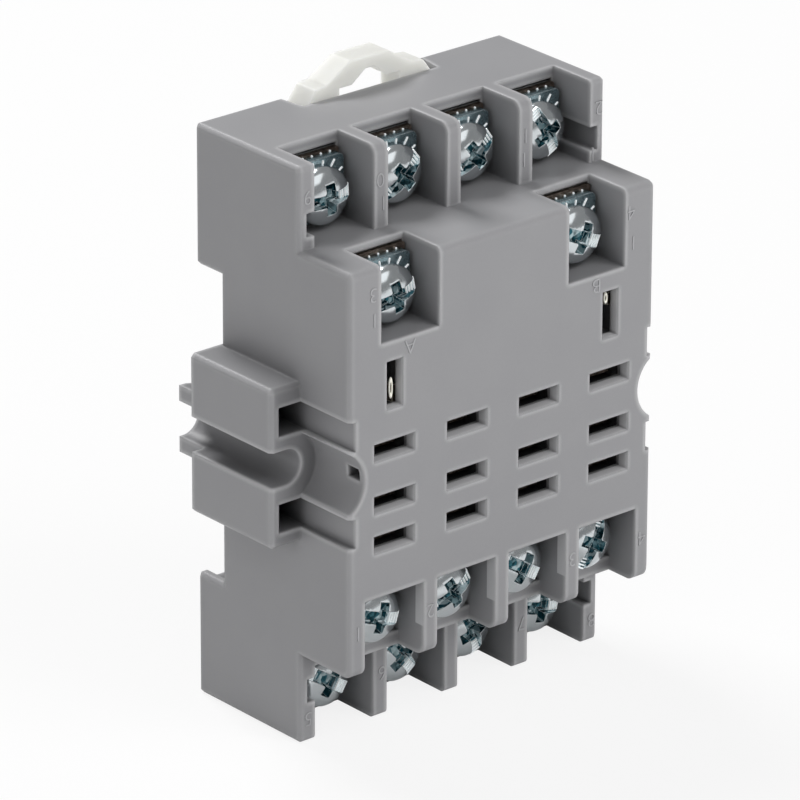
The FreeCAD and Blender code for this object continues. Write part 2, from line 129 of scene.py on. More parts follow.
def add_modifier(piece, kind, **settings):
    """Add a modifier, set it and apply it."""
    only(piece)
    modifier = piece.modifiers.new(kind.title(), kind)
    for key, value in settings.items():
        setattr(modifier, key, value)
    bpy.ops.object.modifier_apply(modifier=modifier.name)


def bevel(piece, width, segments, degrees, **settings):
    """Bevel the edges that turn by more than an angle."""
    add_modifier(piece, "BEVEL", width=width, segments=segments, limit_method="ANGLE",
                 angle_limit=math.radians(degrees), **settings)


def join_into(piece, others):
    """Join other objects into one, which keeps its name."""
    only(piece)
    for other in others:
        other.select_set(True)
    bpy.ops.object.join()


def copy_of(piece, name):
    """A copy with a mesh of its own."""
    twin = piece.copy()
    twin.data = piece.data.copy()
    twin.name = twin.data.name = name
    bpy.context.collection.objects.link(twin)
    return twin


# %% [markdown]
# ## Writing finishes as sums
# A finish is a small network of nodes. Writing it as arithmetic is easier to read than a list of links,
# so one class wraps a socket and turns +, - and * into Math nodes. Everything else comes from one method
# that takes a node's type, its settings and its inputs.


# %% Sockets that add up
class Signal:
    """A socket of a finish that can be used in sums."""

    def __init__(self, finish, socket):
        self.finish = finish
        self.socket = socket

    def __add__(self, other):
        return self.finish.combine("ADD", self, other)

    def __radd__(self, other):
        return self.finish.combine("ADD", other, self)

    def __sub__(self, other):
        return self.finish.combine("SUBTRACT", self, other)

    def __rsub__(self, other):
        return self.finish.combine("SUBTRACT", other, self)

    def __mul__(self, other):
        return self.finish.combine("MULTIPLY", self, other)


class Finish:
    """A material whose nodes are added by expressions."""

    def __init__(self, name, **constants):
        self.material = bpy.data.materials.new(name)
        self.material.use_nodes = True
        self.tree = self.material.node_tree
        self.shader = self.tree.nodes["Principled BSDF"]
        for socket, value in constants.items():
            self.shader.inputs[socket.replace("_", " ")].default_value = value
        self.place = self.node("TexCoord", out="Object")

    def node(self, kind, settings=None, inputs=None, out=0):
        """Add a node of a kind, with its settings first and then its inputs."""
        node = self.tree.nodes.new("ShaderNode" + kind)
        for key, value in (settings or {}).items():
            if key == "stops":
                self.set_stops(node.color_ramp, value)
            else:
                setattr(node, key, value)
        for key, value in (inputs or {}).items():
            if isinstance(value, Signal):
                self.tree.links.new(value.socket, node.inputs[key])
            else:
                node.inputs[key].default_value = value
        return Signal(self, node.outputs[out])

    @staticmethod
    def set_stops(ramp, stops):
        """Give a colour ramp its stops of (position, grey or colour)."""
        while len(ramp.elements) < len(stops):
            ramp.elements.new(0.5)
        for element, (position, tone) in zip(ramp.elements, stops):
            element.position = position
            element.color = (tone, tone, tone, 1) if isinstance(tone, (int, float)) else (*tone, 1)

    def noise(self, scale, detail=2.0, rough=0.5):
        """Cloudy noise from 0 to 1 with so many cells to the metre."""
        return self.node("TexNoise", {}, {"Vector": self.place, "Scale": scale, "Detail": detail,
                                          "Roughness": rough})

    def blend_colours(self, factor, first, second):
        """One colour fading to another."""
        return self.node("Mix", {"data_type": "RGBA"},
                         {"Factor": factor, 6: (*first, 1) if isinstance(first, tuple) else first,
                          7: (*second, 1) if isinstance(second, tuple) else second}, out=2)

    def rounded(self, radius, samples=8):
        """The normal, rounded at the edges."""
        return self.node("Bevel", {"samples": samples}, {"Radius": radius})

    def bump(self, height, distance, strength, normal):
        """A normal disturbed by a height."""
        return self.node("Bump", {}, {"Height": height, "Distance": distance, "Strength": strength,
                                      "Normal": normal})

    def nearness(self, distance, inside=False):
        """How much of the piece's own surface is near a point, seen from outside or through its body."""
        return 1 - self.node("AmbientOcclusion", {"samples": 6, "inside": inside, "only_local": True},
                             {"Distance": distance}, out="AO")

    def edges(self, radius, gain):
        """The normal rounded at the edges, and a signal that rises from 0 to 1 as it leans over."""
        rounded = self.rounded(radius)
        upright = self.node("VectorMath", {"operation": "DOT_PRODUCT"},
                            {0: rounded, 1: self.node("NewGeometry", out="Normal")}, out="Value")
        lean = self.combine("POWER", 1 - upright, 0.5, clamp=True)
        return rounded, self.combine("MULTIPLY", lean, gain, clamp=True)

    def combine(self, operation, first, second=0.0, clamp=False):
        """A Math node of signals or numbers, such as ADD, MAXIMUM or LESS_THAN."""
        return self.node("Math", {"operation": operation, "use_clamp": clamp}, {0: first, 1: second})

    def feed(self, **signals):
        """Link signals to the shader's sockets."""
        for socket, signal in signals.items():
            self.tree.links.new(signal.socket, self.shader.inputs[socket.replace("_", " ")])


# %% [markdown]
# ## The grey moulding
# The housing is a filled thermoplastic with a satin skin. Its grey is even, with slow cloudy changes
# where the melt flowed and a very fine grain. The tool's sharp edges came out slightly rounded, and the
# Bevel node rounds the shading there without adding faces. Thin plastic lets some light through. The
# Ambient Occlusion node can look into a body, and where it finds another side of it close by, as at an
# edge, a lighter colour is painted in: painted light for the thin plastic and the rounded edges. Looking
# outwards it finds the deep compartments, which get painted shade, and the closed cavities, which are
# painted nearly black. The short walls in the mouths of the blade slots get the same painted light, and
# are picked by their place.

# %% Finish: moulding
EDGE_ROUND = 0.5 * MM
FIGURE_EDGE_ROUND = 0.04 * MM
ROOM_DEEP = 7 * MM
ROOM_SHADE = 0.5
CAVITY_FROM = 0.8
CAVITY_GAIN = 2
SHADE_BLACK = (0.01, 0.01, 0.012)
PAINTED_RIM_LIGHT = (0.56, 0.56, 0.57)
MOUTH_DEEP = 1.4 * MM
MOUTH_REACH = 18.6 * MM
MOUTH_LOW, MOUTH_HIGH = 14 * MM, 47 * MM


def mouth_wall_light(finish):
    """1 on walls that stand square to the relay face, close behind it and among the blade slots, for painted
    light.
    """
    across, deep, height = (finish.node("SeparateXYZ", {}, {0: finish.place}, out=axis) for axis in "XYZ")
    normal = finish.node("NewGeometry", out="Normal")
    frontal = finish.combine("ABSOLUTE", finish.node("SeparateXYZ", {}, {0: normal}, out="Y"))
    sideways = finish.combine("ABSOLUTE", across)
    walls = finish.combine("LESS_THAN", frontal, 0.5)
    walls = walls * finish.combine("LESS_THAN", deep, FACE_Y + MOUTH_DEEP)
    walls = walls * finish.combine("LESS_THAN", sideways, MOUTH_REACH)
    walls = walls * finish.combine("GREATER_THAN", height, MOUTH_LOW)
    return walls * finish.combine("LESS_THAN", height, MOUTH_HIGH)


def moulded_plastic(name, edge_round, light, edge_light):
    """Satin grey plastic of a given lightness, with painted shade in deep places and so much painted light
    at its edges.
    """
    finish = Finish(name, Specular_IOR_Level=0.42)
    flow = finish.noise(140, 2.0)
    grain = finish.noise(5200, 3.0, 0.6)
    dark = tuple(v * light for v in (0.286, 0.286, 0.299))
    pale = tuple(v * light for v in (0.340, 0.339, 0.347))
    body = finish.blend_colours(flow * 0.6 + grain * 0.4, dark, pale)
    # Painted shade: deep compartments darken and closed cavities are painted nearly black.
    walled = finish.nearness(ROOM_DEEP)
    cavity_shade = finish.combine("MAXIMUM", walled * CAVITY_GAIN - CAVITY_GAIN * CAVITY_FROM, 0.0)
    body = finish.blend_colours(walled * ROOM_SHADE + cavity_shade, body, SHADE_BLACK)
    # Painted light: edges, thin walls and the walls in the blade slots' mouths are painted lighter.
    rim_light = finish.nearness(1.2 * edge_round, inside=True) * edge_light
    thin = finish.combine("MAXIMUM", rim_light, mouth_wall_light(finish))
    finish.feed(Base_Color=finish.blend_colours(thin, body, PAINTED_RIM_LIGHT),
                Roughness=0.33 + flow * 0.12 + grain * 0.1)
    finish.feed(Normal=finish.bump(grain, 0.012 * MM, 0.5, finish.rounded(edge_round)))
    return finish.material


moulding = moulded_plastic("moulding", EDGE_ROUND, light=1.0, edge_light=1.7)
# The figures get a copy of the moulding painted lighter, a painted highlight on their raised strokes.
raised = moulded_plastic("moulding_figures_lit", FIGURE_EDGE_ROUND, light=1.36, edge_light=0.3)
print("moulding nodes:", len(moulding.node_tree.nodes))

# %% [markdown]
# ## Milky nylon
# The rail clip is unfilled nylon. Light goes into it and comes out a few millimetres away, which softens
# its shadows and the steps between its faces. Subsurface scattering does this with one constant weight,
# and a faint glow stands for the light that comes through from behind.

# %% Finish: nylon
nylon = Finish("nylon", Subsurface_Weight=0.9, Subsurface_Radius=(1.0, 1.0, 0.9),
               Subsurface_Scale=3.2 * MM, Specular_IOR_Level=0.35, IOR=1.53,
               Emission_Color=(0.95, 0.95, 0.92, 1), Emission_Strength=0.18)
cloud = nylon.noise(260, 2.0)
nylon.feed(Base_Color=nylon.blend_colours(cloud, (0.53, 0.53, 0.51), (0.59, 0.59, 0.565)),
           Roughness=0.42 + cloud * 0.14)
nylon.feed(Normal=nylon.bump(nylon.noise(2600, 2.0), 0.02 * MM, 0.3, nylon.rounded(0.4 * MM, samples=6)))

# %% [markdown]
# ## Bright zinc
# Screws and clamps are steel with a clear blue-passivated zinc plate: a mirror with a cool tint, broken
# by fine pickling grain. The clamps are painted in a much darker copy of it, painted shade. Along the
# edges a near-white highlight is painted in, and the edges, bars, ribs and teeth get a near-white finish
# with a faint painted glow, so that they glint in any light. The recess of each screw is struck after
# heading, so its walls are torn into small facets of a random tone. Its finish is a darker teal copy of
# the zinc, painted shade in the recess, and the cutting step hands it to the new faces.


# %% Finish: zinc plate on heads, recesses and clamps
# The near-white that zinc edges are painted: a painted highlight.
PAINTED_EDGE_WHITE = (0.95, 0.98, 1.0)
FACETS_TO_THE_METRE = 1700.0


def zinc_plate(name, dark, pale, rough, edge_round, dull=0.0, facets=0.0, painted_glow=0.0):
    """Blue zinc with painted white edges, torn into facets of a random tone, and with a painted glow where
    asked.
    """
    finish = Finish(name, Emission_Color=(*pale, 1), Emission_Strength=painted_glow)
    patch = finish.noise(900, 2.0)
    grain = finish.noise(14000, 2.0)
    rounded, edge = finish.edges(edge_round, 1.5)
    tone, height, mirror = patch, patch + grain * 0.12, 1 - dull
    if facets:
        cells = {"Vector": finish.place, "Scale": FACETS_TO_THE_METRE}
        tone = finish.node("ValToRGB", {"stops": [(0.40, 0.0), (0.52, 0.3), (0.60, 1.0)]},
                           {"Fac": finish.node("TexVoronoi", {}, cells, out="Color")})
        height = height * 0.5 + finish.node("TexVoronoi", {}, cells, out="Distance") * facets
        mirror = 1 - tone * dull
    skin = finish.blend_colours(tone, dark, pale)
    # Edges are painted near-white and less metallic: a painted highlight.
    finish.feed(Base_Color=finish.blend_colours(edge, skin, PAINTED_EDGE_WHITE),
                Roughness=rough + patch * 0.1 + grain * 0.05, Metallic=mirror - edge * 0.7)
    finish.feed(Normal=finish.bump(height, 0.03 * MM, 0.35, rounded))
    return finish.material


zinc = zinc_plate("zinc", dark=(0.62, 0.66, 0.68), pale=(0.77, 0.81, 0.83), rough=0.12, edge_round=0.05 * MM)
# The clamps', recesses' and slots' zinc are darker copies of the heads' zinc: painted shade.
zinc_clamp_shaded = zinc_plate("zinc_clamp_shaded", dark=(0.10, 0.19, 0.22), pale=(0.44, 0.55, 0.59), rough=0.2,
                        edge_round=0.12 * MM)
zinc_recess_shaded = zinc_plate("zinc_recess_shaded", dark=(0.03, 0.12, 0.15), pale=(0.50, 0.64, 0.67), rough=0.12,
                         edge_round=0.08 * MM, dull=0.3, facets=6.0)
zinc_slot_shaded = zinc_plate("zinc_slot_shaded", dark=(0.03, 0.11, 0.14), pale=(0.62, 0.72, 0.75), rough=0.14,
                       edge_round=0.06 * MM, dull=0.4, facets=9.0)
# Near-white zinc with a faint glow for struck edges, bars, ribs and teeth: a painted glint.
zinc_glint = zinc_plate("zinc_glint", dark=(0.86, 0.91, 0.93), pale=(0.97, 1.0, 1.0), rough=0.25,
                       edge_round=0.05 * MM, dull=0.6, painted_glow=0.25)

# %% [markdown]
# ## Terminal metal
# Contacts are nickel-plated brass, and the plate has dulled to a dark brown. At their blade ends the two
# coil contacts get a cream painted highlight on their edges, and their lips in the upright slots have a
# near-white tin finish with a faint painted glow.


# %% Finish: contact metal
# Below this height the coil contacts' edges get a painted highlight.
GLINT_BELOW = 47 * MM


def contact_plate(name, glint_below=0.0):
    """Dull brown plate, with a painted highlight on its edges below a height."""
    finish = Finish(name)
    tarnish = finish.noise(1800, 4.0, 0.65)
    brown = finish.node("ValToRGB", {"stops": [(0.3, (0.12, 0.09, 0.075)), (0.55, (0.30, 0.24, 0.20)),
                                               (0.75, (0.58, 0.51, 0.44))]}, {"Fac": tarnish})
    height = finish.node("SeparateXYZ", {}, {0: finish.place}, out="Z")
    low = finish.combine("LESS_THAN", height, glint_below)
    # Painted highlight: edges below the height turn cream and less metallic.
    bright = finish.edges(0.16 * MM, 2.0)[1] * low
    finish.feed(Base_Color=finish.blend_colours(bright, brown, (0.93, 0.90, 0.78)),
                Metallic=1 - bright * 0.8, Roughness=0.28 + tarnish * 0.2)
    return finish.material


# Near-white tin with a faint glow for the lips in the upright slots: a painted glint.
tin_glowing = zinc_plate("tin_glowing", dark=(0.88, 0.85, 0.74), pale=(0.97, 0.95, 0.86), rough=0.25, edge_round=0.05 * MM,
                 dull=0.7, painted_glow=0.2)
contact_metal = contact_plate("contact_metal")
coil_metal = contact_plate("coil_contact_metal", GLINT_BELOW)

# %% [markdown]
# ## Dress the solids
# A CAD solid whose shape is already right keeps its mesh and only gets its finish.


# %% Assign finishes to the CAD nodes
def dress(node, material):
    """Give a CAD node one finish."""
    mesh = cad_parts[node].data
    mesh.materials.clear()
    mesh.materials.append(material)


dress("housing", moulding)
dress("din_clip", nylon.material)
dress("clip_spring", nylon.material)
for number in TERMINALS:
    dress("contact_" + number, coil_metal if number in ("13", "14") else contact_metal)
    dress("clamp_plate_" + number, zinc_clamp_shaded)
    dress("terminal_screw_" + number, zinc)

# %% [markdown]
# ## A terminal screw
# Each terminal has a pan-head screw with a slot across the head and a shorter cross arm, so either driver
# fits. The head starts as a disc whose front face is extruded and narrowed ring by ring into the dome.
# Cutters then take out the slot, the cross and the well, and hand their darker teal finish, painted shade
# in the recess, to the new faces. Last, a narrow bevel rounds every struck edge and gives it a near-white
# finish with a faint glow, a painted highlight.

# %% Head: a disc drawn out into a dome
# radius and height of each ring in millimetres
HEAD_DOME = [(3.3, 0.0), (3.3, 0.45), (3.27, 0.85), (3.17, 1.2), (2.97, 1.52), (2.67, 1.8), (2.26, 2.03),
             (1.74, 2.22), (1.15, 2.34), (0.55, 2.4)]
HEAD_HEIGHT = 2.4 * MM
HEAD_SIDES = 64
bpy.ops.mesh.primitive_circle_add(vertices=HEAD_SIDES, radius=HEAD_DOME[0][0] * MM, fill_type="NGON",
                                  rotation=(math.pi / 2, 0, 0))
head = settle(latest("screw_pattern"))
bpy.ops.object.mode_set(mode="EDIT")
bpy.ops.mesh.select_mode(type="FACE")
bpy.ops.mesh.select_all(action="SELECT")
for (wide, low), (narrow, high) in zip(HEAD_DOME, HEAD_DOME[1:]):
    bpy.ops.mesh.extrude_region_move(TRANSFORM_OT_translate={"value": (0, (low - high) * MM, 0)})
    share = narrow / wide
    bpy.ops.transform.resize(value=(share, 1, share), center_override=(0, 0, 0))
bpy.ops.mesh.poke()
bpy.ops.object.mode_set(mode="OBJECT")
head.data.materials.append(zinc)
print("head faces:", len(head.data.polygons))

# %% Recess: slot, cross arm and well
SLOT_LONG, SLOT_WIDE, SLOT_DEEP = 9.0, 1.45, 1.25
CROSS_LONG, CROSS_DEEP = 4.5, 1.85
CROSS_TAPER = (0.8, 0.62)
ARM_WIDE = SLOT_WIDE * 0.98
ARM_TAPER = (0.62, 0.8)
WELL_WIDE = 3.0
WELL_TAPER = (0.45, 0.45)
TINY = 0.001 * MM


def block_of(name, size, y=-HEAD_HEIGHT / MM, x=0.0, z=0.0, narrow=None, finish=zinc_recess_shaded):
    """A block sized and placed in millimetres, its inner face narrowed where asked."""
    bpy.ops.mesh.primitive_cube_add(size=1, location=(x * MM, y * MM, z * MM), scale=[v * MM for v in size])
    block = settle(latest(name))
    if narrow:
        inner = max(v.co.y for v in block.data.vertices)
        pick_faces(block, lambda centre: centre.y > inner - TINY)
        bpy.ops.transform.resize(value=(narrow[0], 1, narrow[1]), center_override=(x * MM, inner, z * MM))
        bpy.ops.object.mode_set(mode="OBJECT")
    block.data.materials.append(finish)
    return block


def cut_away(piece, block):
    """Subtract a block, and keep its finish on the new faces."""
    add_modifier(piece, "BOOLEAN", operation="DIFFERENCE", solver="EXACT", object=block,
                 material_mode="TRANSFER")
    bpy.data.objects.remove(block)


cut_away(head, block_of("slot_cutter", (SLOT_LONG, 2 * SLOT_DEEP, SLOT_WIDE), finish=zinc_slot_shaded))
cut_away(head, block_of("cross_cutter", (SLOT_WIDE, 2 * CROSS_DEEP, CROSS_LONG), narrow=CROSS_TAPER))
cut_away(head, block_of("arm_cutter", (CROSS_LONG, 2 * CROSS_DEEP, ARM_WIDE), narrow=ARM_TAPER))
well = block_of("well_cutter", (WELL_WIDE, 2 * CROSS_DEEP, WELL_WIDE), narrow=WELL_TAPER)
well.rotation_euler = (0, math.pi / 4, 0)
cut_away(head, settle(well))

# %% [markdown]
# The slot's punch leaves short bars across its two ends. They are small, and like the edges of the recess
# they get a near-white finish with a painted glow, so they are the brightest marks. The bevel hands its
# own finish to those edges.

# %% Painted bright edges, and bars across the slot's ends
head.data.materials.append(zinc_glint)
bevel(head, 0.11 * MM, 2, 32, material=len(head.data.materials) - 1)
BARS = 4
BAR_WIDE, BAR_HIGH = 0.15, 0.42
BAR_START, BAR_STEP = 1.95, 0.36
bars = [block_of("bar", (BAR_WIDE, BAR_HIGH, SLOT_WIDE), y=SLOT_DEEP - HEAD_HEIGHT / MM,
                 x=side * (BAR_START + i * BAR_STEP), finish=zinc_glint)
        for side in (-1, 1) for i in range(BARS)]
join_into(head, bars)
print("head after cutting:", len(head.data.polygons), "faces,", len(head.data.materials), "finishes")

# %% [markdown]
# The shank is a rod whose side is divided into rings. Moving each point inwards by its place along the
# rod and its angle turns the rings into one thread, so no separate spiral has to be joined on.

# %% Threaded shank
SHANK_R, SHANK_LONG = 1.63 * MM, 6.9 * MM
THREAD_PITCH, THREAD_DEEP = 0.6 * MM, 0.24 * MM
THREAD_CUTS = 45
bpy.ops.mesh.primitive_cylinder_add(vertices=32, radius=SHANK_R, depth=SHANK_LONG,
                                    rotation=(math.pi / 2, 0, 0), location=(0, SHANK_LONG / 2, 0))
shank = settle(latest("shank_pattern"))
pick_edges(shank, lambda a, b: abs(a.y - b.y) > SHANK_LONG / 2)
bpy.ops.mesh.subdivide(number_cuts=THREAD_CUTS)
bpy.ops.object.mode_set(mode="OBJECT")
for point in shank.data.vertices:
    if TINY < point.co.y < SHANK_LONG - TINY:
        turns = point.co.y / THREAD_PITCH - math.atan2(point.co.z, point.co.x) / (2 * math.pi)
        deep = THREAD_DEEP * (1 - abs(2 * (turns % 1) - 1))
        point.co.x *= 1 - deep / SHANK_R
        point.co.z *= 1 - deep / SHANK_R
shank.data.materials.append(zinc)
join_into(head, [shank])
bpy.ops.object.shade_smooth_by_angle(angle=math.radians(32))

# %% [markdown]
# The screws stop where the last driver left them, so no two slots stand alike. Each copy is turned about
# its own axis and then moved to the CAD screw that it stands for.

# %% Place the screws
DRIVE_ANGLES = {1: -18, 2: 24, 3: -32, 4: 62, 5: -33, 6: -52, 7: -70, 8: -12,
                9: 4, 10: 38, 11: 34, 12: -62, 13: 12, 14: -24}
for number in TERMINALS:
    low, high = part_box("terminal_screw_" + number)
    screw = copy_of(head, "screw_" + number)
    screw.rotation_euler = (0, -math.radians(DRIVE_ANGLES[int(number)]), 0)
    screw.location = ((low.x + high.x) / 2, low.y + HEAD_HEIGHT, (low.z + high.z) / 2)
    settle(screw)
    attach(screw, "screw_" + number)
    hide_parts("terminal_screw_" + number)
bpy.data.objects.remove(head)

# %% [markdown]
# ## The clamp plate
# Under each head lies a square pressure plate. Ribs run out from its hole, so that the plate bites the
# wire, and its corners are rounded where the punch cut them.

# %% Clamp plate: a punched square
CLAMP_HOLE_UP = 3.25
CLAMP_OVER = 0.2
CLAMP_WIDE, CLAMP_THICK, CLAMP_TALL = ((b - a) / MM for a, b in zip(*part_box("clamp_plate_14")))
CLAMP_TALL += CLAMP_OVER
CLAMP_CORNER = 0.7
CLAMP_BORE = 1.8
bpy.ops.mesh.primitive_cube_add(size=1, scale=(CLAMP_WIDE * MM, CLAMP_THICK * MM, CLAMP_TALL * MM),
                                location=(0, 0, (CLAMP_TALL / 2 - CLAMP_HOLE_UP) * MM))
clamp = settle(latest("clamp_pattern"))
pick_edges(clamp, lambda a, b: abs(a.y - b.y) > 0.5 * CLAMP_THICK * MM)
bpy.ops.mesh.bevel(offset=CLAMP_CORNER * MM, segments=4, affect="EDGES")
bpy.ops.object.mode_set(mode="OBJECT")
clamp.data.materials.append(zinc_clamp_shaded)
bpy.ops.mesh.primitive_cylinder_add(vertices=32, radius=CLAMP_BORE * MM, depth=4 * MM,
                                    rotation=(math.pi / 2, 0, 0))
bore = settle(latest("bore_cutter"))
bore.data.materials.append(zinc_clamp_shaded)
cut_away(clamp, bore)
bevel(clamp, 0.08 * MM, 2, 30)

# %% Ribs on the front of the plate and teeth behind its top edge
# Ribs and teeth get the near-white zinc with a painted glow: painted glints.
RIBS, RIB_WIDE, RIB_PROUD = 16, 0.2, 0.12
RIB_START, RIB_REACH, RIB_MARGIN = 2.7, 4.4, 0.3
TEETH, TOOTH_STEP, TOOTH_IN = 5, 1.25, 0.13
TOOTH_SIZE = (0.2, 0.22, 0.3)
front_y = -CLAMP_THICK / 2
parts = []
for i in range(RIBS):
    angle = 2 * math.pi * (i + 0.5) / RIBS
    reach = [CLAMP_WIDE / 2 / abs(math.cos(angle)), CLAMP_HOLE_UP / abs(math.sin(angle))]
    if math.sin(angle) > 0:
        reach[1] = (CLAMP_TALL - CLAMP_HOLE_UP) / math.sin(angle)
    rib_long = min(*reach, RIB_REACH) - RIB_MARGIN - RIB_START
    rib = block_of("rib", (rib_long, 2 * RIB_PROUD, RIB_WIDE), y=front_y, x=RIB_START + rib_long / 2,
                   finish=zinc_glint)
    rib.rotation_euler = (0, -angle, 0)
    parts.append(settle(rib))
for i in range(TEETH):
    parts.append(block_of("tooth", TOOTH_SIZE, y=CLAMP_THICK / 2 - TOOTH_IN, x=(i - TEETH // 2) * TOOTH_STEP,
                          z=CLAMP_TALL - CLAMP_HOLE_UP, finish=zinc_glint))
for piece in parts:
    bevel(piece, 0.04 * MM, 1, 30)
join_into(clamp, parts)
bpy.ops.object.shade_smooth_by_angle(angle=math.radians(30))
print("clamp faces:", len(clamp.data.polygons))

# %% [markdown]
# Compartments under a ledge have a shorter plate. Its top edge is lowered and the hole stays where the
# screw is.

# %% Place the clamp plates
for number in TERMINALS:
    low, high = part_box("clamp_plate_" + number)
    plate = copy_of(clamp, "clamp_" + number)
    for point in plate.data.vertices:
        if point.co.z > (CLAMP_TALL - CLAMP_HOLE_UP - 1.2 * CLAMP_CORNER) * MM:
            point.co.z -= (CLAMP_TALL - CLAMP_OVER) * MM - (high.z - low.z)
    plate.location = ((low.x + high.x) / 2, (low.y + high.y) / 2, low.z + CLAMP_HOLE_UP * MM)
    settle(plate)
    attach(plate, "clamp_" + number)
    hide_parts("clamp_plate_" + number)
bpy.data.objects.remove(clamp)

# %% [markdown]
# ## Edges of the terminal plates
# In the upper compartments a contact's folded edge stands over its clamp plate and leaves a narrow dark
# gap under the ceiling. It is a bar on top of each of those contacts.

# %% Folded edges
FOLD_WIDE, FOLD_THICK, FOLD_BACK = 7.6, 0.6, 0.4
FOLD_RISE, FOLD_SUNK = 0.1, 0.1
for number in ("09", "10", "11", "12", "13", "14"):
    low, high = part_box("contact_" + number)
    plate_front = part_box("clamp_plate_" + number)[1].y
    fold = block_of("contact_fold_" + number, (FOLD_WIDE, FOLD_THICK, FOLD_RISE + FOLD_SUNK),
                    y=plate_front / MM + FOLD_BACK, x=(low.x + high.x) / 2 / MM,
                    z=high.z / MM + FOLD_RISE / 2 - FOLD_SUNK / 2, finish=contact_metal)
    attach(fold, "base")

# %% [markdown]
# ## Lips in the upright slots
# The coil contacts end in a rolled lip just inside each upright slot, a narrow ring of tinned metal that
# guides the blade. A torus stretched along the slot gives it, thin at its sides and thick at its turns.

# %% Coil contact lips
LIP_HALF_DEEP, LIP_BACK = 0.5 * MM, 1.05 * MM
# name, x and z in millimetres, and the stretch across and along the slot
LIPS = (("lip_13", -15.0, 42.65, 0.25, 1.25), ("lip_14", 15.4, 45.0, 0.25, 0.68))
for name, x, z, half_wide, half_tall in LIPS:
    bpy.ops.mesh.primitive_torus_add(major_segments=32, minor_segments=10, major_radius=0.75,
                                     minor_radius=0.25, rotation=(math.pi / 2, 0, 0))
    lip = settle(latest(name))
    lip.scale = (half_wide * MM, LIP_HALF_DEEP, half_tall * MM)
    lip.location = (x * MM, FACE_Y + LIP_BACK, z * MM)
    settle(lip)
    bpy.ops.object.shade_smooth()
    # The lips' tin finish has a faint painted glow, a painted glint in the slots.
    lip.data.materials.append(tin_glowing)
    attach(lip, "base")

# %% [markdown]
# ## The bowed leaf
# A nylon leaf behind the clip bows down onto the clip's window edge and pushes it onto the rail. It
# starts as a bar, is divided along its length and its points are dropped onto an arc. In life it shortens
# as the clip is lifted and flattens towards the lugs that hold its ends; here it keeps the one bow.

# %% Leaf spring
low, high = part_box("clip_spring")
LEAF_THICK = 0.7 * MM
LEAF_CUTS = 23
leaf_size = high - low
bpy.ops.mesh.primitive_cube_add(size=1, location=(0, (low.y + high.y) / 2, high.z - LEAF_THICK / 2),
                                scale=(leaf_size.x, leaf_size.y, LEAF_THICK))
leaf = settle(latest("bowed_leaf"))
pick_edges(leaf, lambda a, b: abs(a.x - b.x) > leaf_size.x / 2)
bpy.ops.mesh.subdivide(number_cuts=LEAF_CUTS)
bpy.ops.object.mode_set(mode="OBJECT")
drop = leaf_size.z - LEAF_THICK
half = leaf_size.x / 2
bow_radius = (half * half + drop * drop) / (2 * drop)
for point in leaf.data.vertices:
    point.co.z -= math.sqrt(bow_radius ** 2 - point.co.x ** 2) - (bow_radius - drop)
bevel(leaf, 0.12 * MM, 3, 50)
only(leaf)
bpy.ops.object.shade_smooth_by_angle(angle=math.radians(35))
leaf.data.materials.append(nylon.material)
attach(leaf, "base")
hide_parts("clip_spring")
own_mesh(leaf)

# %% [markdown]
# ## Raised figures
# Terminal numbers stand just under a tenth of a millimetre proud of the moulding. The socket is read from
# its other end, so they are upside down here. Each figure is text turned into a mesh, thin and close to
# the wall it stands on.

# %% Figures beside the terminals
TIER_Y = FACE_Y + 8.42 * MM
FIGURE_TALL = 1.75
FIGURE_PROUD = 0.09 * MM
FIGURE_THINNED = 0.035 * MM
CAPITAL_SHARE = 0.73
# sign, x and z in millimetres, and the y of the wall behind it
FIGURES = [("1", -20.34, 15.8, FACE_Y), ("2", -10.2, 15.6, FACE_Y), ("3", 10.14, 15.8, FACE_Y),
           ("4", 20.26, 15.5, FACE_Y), ("5", -20.35, 2.7, TIER_Y), ("6", -9.95, 5.1, TIER_Y),
           ("7", 10.2, 5.1, TIER_Y), ("8", 20.57, 2.5, TIER_Y), ("9", -20.3, 63.4, TIER_Y),
           ("0", -10.34, 62.9, TIER_Y), ("1", -9.9, 60.2, TIER_Y), ("1", 10.1, 62.9, TIER_Y),
           ("1", 9.9, 60.2, TIER_Y), ("2", 20.6, 63.6, TIER_Y), ("1", 19.8, 58.4, TIER_Y),
           ("3", -18.34, 54.4, FACE_Y), ("1", -18.15, 51.5, FACE_Y), ("4", 17.98, 54.6, FACE_Y),
           ("1", 18.34, 51.0, FACE_Y), ("A", -13.21, 47.25, FACE_Y), ("B", 13.06, 47.3, FACE_Y)]
figures = []
for i, (sign, x, z, y) in enumerate(FIGURES):
    bpy.ops.object.text_add(radius=FIGURE_TALL * MM / CAPITAL_SHARE)
    letter = latest("figure_%02d" % i)
    letter.data.body = sign
    letter.data.align_x = "CENTER"
    letter.data.extrude = FIGURE_PROUD
    letter.data.offset = -FIGURE_THINNED
    letter.data.resolution_u = 3
    bpy.ops.object.convert(target="MESH")
    middle = sum((Vector(c) for c in letter.bound_box), Vector()) / 8
    for point in letter.data.vertices:
        point.co -= middle
    letter.rotation_euler = Euler((math.pi / 2, math.pi, 0))
    letter.location = (x * MM, y, z * MM)
    figures.append(settle(letter))
raised_figures = figures[0]
join_into(raised_figures, figures[1:])
raised_figures.name = raised_figures.data.name = "raised_figures"
raised_figures.data.materials.clear()
raised_figures.data.materials.append(raised)
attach(raised_figures, "base")

# %% [markdown]
# ## The camera
# The view is a long lens from the left and above, as for a catalogue picture. Its place and its turn come
# from matching the socket's known corners to a picture of it.

